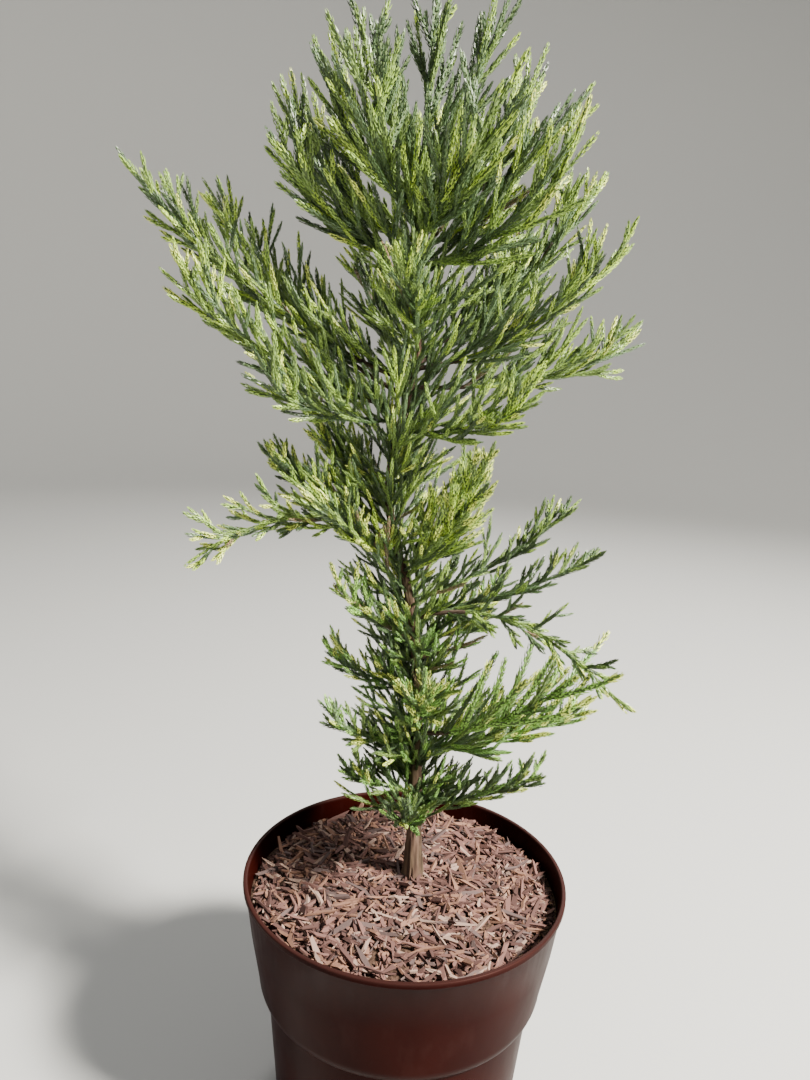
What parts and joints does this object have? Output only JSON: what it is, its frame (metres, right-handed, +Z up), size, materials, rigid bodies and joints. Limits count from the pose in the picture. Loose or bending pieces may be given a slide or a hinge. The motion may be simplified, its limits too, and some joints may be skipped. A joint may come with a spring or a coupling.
{
  "type": "potted young giant redwood tree",
  "caption": "Young conifer with a slim leaning trunk, upswept whipcord foliage and a round tapered nursery pot filled with compost and wood mulch.",
  "frame": {"origin": "middle of the pot's flat underside", "axes": "+Z up along the tree, +X to the right and +Y to the back as the picture shows it"},
  "size_m": [0.5055, 0.36, 1.1903],
  "materials": {
    "pot_plastic": "dark reddish brown moulded plastic, satin, with a worn paler rim",
    "compost": "dark crumbly potting compost, rough",
    "mulch": "shredded wood chips, pinkish brown, dry and rough",
    "bark": "fibrous reddish brown bark, rough",
    "foliage": "scale-like evergreen leaves, deep green inside and yellow-green at the tips"
  },
  "bodies": {
    "root": {"pot": "pot_plastic", "compost": "compost", "mulch": "mulch", "trunk": "bark", "bough_right_high": "bark", "bough_mid_right_back": "bark", "bough_mid_back": "bark", "bough_right_mid": "bark", "bough_left_high": "bark", "bough_right_low": "bark", "bough_left_mid": "bark", "bough_left_low": "bark", "bough_waist_left_droop": "bark", "bough_waist_right_droop": "bark", "bough_low_right": "bark", "foliage_crown_leader": "foliage", "foliage_crown_leader_left": "foliage", "foliage_crown_right_top": "foliage", "foliage_crown_left_top": "foliage", "foliage_crown_right_back": "foliage", "foliage_crown_front_left": "foliage", "foliage_crown_back": "foliage", "foliage_crown_front_right": "foliage", "foliage_crown_left_back": "foliage", "foliage_crown_right_mid": "foliage", "foliage_crown_left_front": "foliage", "foliage_crown_right_front": "foliage", "foliage_mid_front": "foliage", "foliage_right_high": "foliage", "foliage_mid_right_back": "foliage", "foliage_mid_back": "foliage", "foliage_right_mid": "foliage", "foliage_left_high": "foliage", "foliage_right_low": "foliage", "foliage_left_mid": "foliage", "foliage_right_front": "foliage", "foliage_left_low": "foliage", "foliage_left_under": "foliage", "foliage_waist_left_high": "foliage", "foliage_waist_left": "foliage", "foliage_waist_left_droop": "foliage", "foliage_waist_back": "foliage", "foliage_waist_left_low": "foliage", "foliage_waist_right_tuft": "foliage", "foliage_waist_right": "foliage", "foliage_waist_right_arm": "foliage", "foliage_waist_right_droop": "foliage", "foliage_low_left_high": "foliage", "foliage_low_right_high": "foliage", "foliage_low_back": "foliage", "foliage_low_left": "foliage", "foliage_low_front": "foliage", "foliage_low_right": "foliage", "foliage_low_left_front": "foliage", "foliage_low_right_mid": "foliage", "foliage_foot_back": "foliage", "foliage_foot_left": "foliage", "foliage_foot_right": "foliage", "foliage_foot_front": "foliage"}
  },
  "joints": []
}
